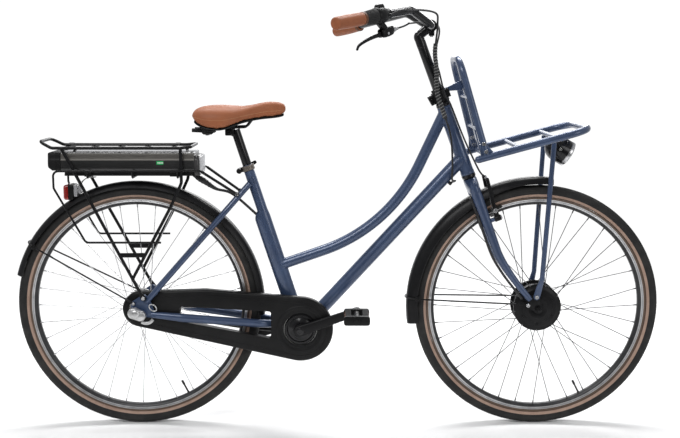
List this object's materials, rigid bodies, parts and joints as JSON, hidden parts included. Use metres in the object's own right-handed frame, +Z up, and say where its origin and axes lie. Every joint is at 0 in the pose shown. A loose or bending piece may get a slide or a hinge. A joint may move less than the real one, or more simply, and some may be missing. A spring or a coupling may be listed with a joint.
{
  "type": "electric bicycle",
  "caption": "Low-step city bicycle with a motor in the front hub, a battery sliding under the rear rack, a carrier fixed to the fork, an enclosed chain and a lamp at each end.",
  "frame": {"origin": "on the ground, midway between the foremost and rearmost points, in the plane of the wheels", "axes": "+X forward, +Y to the rider's left, +Z up; upright, steering straight, right crank forward"},
  "size_m": [1.854, 0.6552, 1.2024],
  "materials": {
    "frame_paint": "satin metallic navy",
    "black_metal": "satin black",
    "black_plastic": "fine grain black",
    "battery_case": "smooth black",
    "rubber": "matte black",
    "tyre": "black tread, tan side walls",
    "leather": "smooth brown",
    "alloy": "machined side, black inside",
    "steel": "bright",
    "red_lens": "clear red",
    "clear_lens": "clear"
  },
  "bodies": {
    "frame": {"frame": "frame_paint", "headset_upper": "black_metal", "headset_lower": "black_metal", "bottom_bracket": "black_metal", "chaincase_cover": "black_plastic", "chaincase_back": "black_plastic", "chain": "steel", "rear_mudguard": "black_metal", "rear_mudguard_stay": "black_metal", "rear_rack": "black_metal", "rack_strap": "rubber", "battery_dock": "black_plastic", "tail_light_body": "black_plastic", "tail_light_lens": "red_lens", "rear_axle": "steel", "seat_clamp": "steel", "controller_lead": "rubber"},
    "steering": {"fork": "frame_paint", "stem": "black_metal", "steerer_nut": "black_metal", "handlebar": "black_metal", "grip_right": "leather", "grip_left": "leather", "shifter_housing": "black_plastic", "brake_bracket": "black_metal", "front_carrier": "frame_paint", "carrier_strut_right": "frame_paint", "carrier_strut_left": "frame_paint", "headlamp_bracket": "black_metal", "front_mudguard": "black_metal", "front_mudguard_stay": "black_metal", "front_axle": "steel", "front_brake_cable": "rubber", "bar_loom": "rubber", "motor_cable": "rubber"},
    "front_wheel": {"front_tyre": "tyre", "front_rim": "alloy", "front_hub": "black_metal"},
    "rear_wheel": {"rear_tyre": "tyre", "rear_rim": "alloy", "rear_hub": "steel"},
    "rear_sprocket": {"rear_sprocket": "steel"},
    "crankset": {"chainring": "steel", "crank_axle": "steel", "crank_right": "black_metal", "crank_left": "black_metal"},
    "right_pedal": {"pedal_right": "black_plastic"},
    "left_pedal": {"pedal_left": "black_plastic"},
    "shifter": {"shifter_sleeve": "rubber"},
    "brake_lever": {"brake_lever": "black_metal"},
    "right_brake_arm": {"brake_arm_right": "black_metal"},
    "left_brake_arm": {"brake_arm_left": "black_metal"},
    "headlamp": {"headlamp_shell": "black_plastic", "headlamp_lens": "clear_lens"},
    "seatpost": {"seatpost": "black_metal"},
    "saddle": {"saddle_cover": "leather", "saddle_base": "black_plastic"},
    "seat_clamp_lever": {"seat_clamp_lever": "black_metal"},
    "battery": {"battery": "battery_case"},
    "kickstand": {"kickstand": "black_metal"}
  },
  "joints": [
    {"name": "steering_turn", "type": "hinge", "parent": "frame", "child": "steering", "pos_m": [0.52333, 0, 0.33258], "axis": [-0.3518, 0, 0.9361], "range_deg": [-60, 60], "deforming": ["bar_loom"]},
    {"name": "front_wheel_spin", "type": "hinge", "parent": "steering", "child": "front_wheel", "pos_m": [0.575, 0, 0.352], "axis": [0, 1, 0], "continuous": true},
    {"name": "rear_wheel_spin", "type": "hinge", "parent": "frame", "child": "rear_wheel", "pos_m": [-0.575, 0, 0.352], "axis": [0, 1, 0], "continuous": true},
    {"name": "crank_spin", "type": "hinge", "parent": "frame", "child": "crankset", "pos_m": [-0.1073, 0, 0.293], "axis": [0, 1, 0], "continuous": true},
    {"name": "rear_sprocket_spin", "type": "hinge", "parent": "frame", "child": "rear_sprocket", "pos_m": [-0.575, 0, 0.352], "axis": [0, 1, 0], "continuous": true},
    {"name": "right_pedal_spin", "type": "hinge", "parent": "crankset", "child": "right_pedal", "pos_m": [0.05295, -0.135, 0.34975], "axis": [0, 1, 0], "continuous": true},
    {"name": "left_pedal_spin", "type": "hinge", "parent": "crankset", "child": "left_pedal", "pos_m": [-0.26755, 0.135, 0.23625], "axis": [0, 1, 0], "continuous": true},
    {"name": "shifter_twist", "type": "hinge", "parent": "steering", "child": "shifter", "pos_m": [-0.00446, -0.315, 1.14603], "axis": [0.6712, 0.7264, 0.1476], "range_deg": [-54, 54]},
    {"name": "brake_lever_pull", "type": "hinge", "parent": "steering", "child": "brake_lever", "pos_m": [0.12446, -0.17549, 1.12584], "axis": [-0.7344, 0.6787, 0], "range_deg": [0, 20], "stiffness_Nm_per_rad": 1.5, "springref_deg": -14.32},
    {"name": "right_brake_arm_swing", "type": "hinge", "parent": "steering", "child": "right_brake_arm", "pos_m": [0.45355, -0.045, 0.61485], "axis": [-0.9361, 0, -0.3518], "range_deg": [0, 3]},
    {"name": "left_brake_arm_swing", "type": "hinge", "parent": "steering", "child": "left_brake_arm", "pos_m": [0.45355, 0.045, 0.61485], "axis": [0.9361, 0, 0.3518], "range_deg": [0, 3]},
    {"name": "headlamp_tilt", "type": "hinge", "parent": "steering", "child": "headlamp", "pos_m": [0.62564, 0, 0.80935], "axis": [0, 1, 0], "range_deg": [-15, 15]},
    {"name": "seatpost_slide", "type": "slide", "parent": "frame", "child": "seatpost", "axis": [-0.3074, 0, 0.9516], "range_m": [0, 0.06]},
    {"name": "saddle_tilt", "type": "hinge", "parent": "seatpost", "child": "saddle", "pos_m": [-0.30365, 0, 0.85537], "axis": [0, 1, 0], "range_deg": [-3, 8]},
    {"name": "seat_clamp_lever_turn", "type": "hinge", "parent": "frame", "child": "seat_clamp_lever", "pos_m": [-0.28017, 0.021, 0.74526], "axis": [-0.3074, 0, 0.9516], "range_deg": [0, 170]},
    {"name": "battery_slide", "type": "slide", "parent": "frame", "child": "battery", "axis": [-1, 0, 0], "range_m": [0, 0.43]},
    {"name": "kickstand_fold", "type": "hinge", "parent": "frame", "child": "kickstand", "pos_m": [-0.163, 0.03, 0.271], "axis": [0.124, -0.9862, -0.11], "range_deg": [0, 104]}
  ],
  "couplings": [
    {"joint": "rear_sprocket_spin", "follows": "crank_spin", "ratio": 2.375},
    {"joint": "right_brake_arm_swing", "follows": "brake_lever_pull", "ratio": 0.15},
    {"joint": "left_brake_arm_swing", "follows": "brake_lever_pull", "ratio": 0.15}
  ]
}
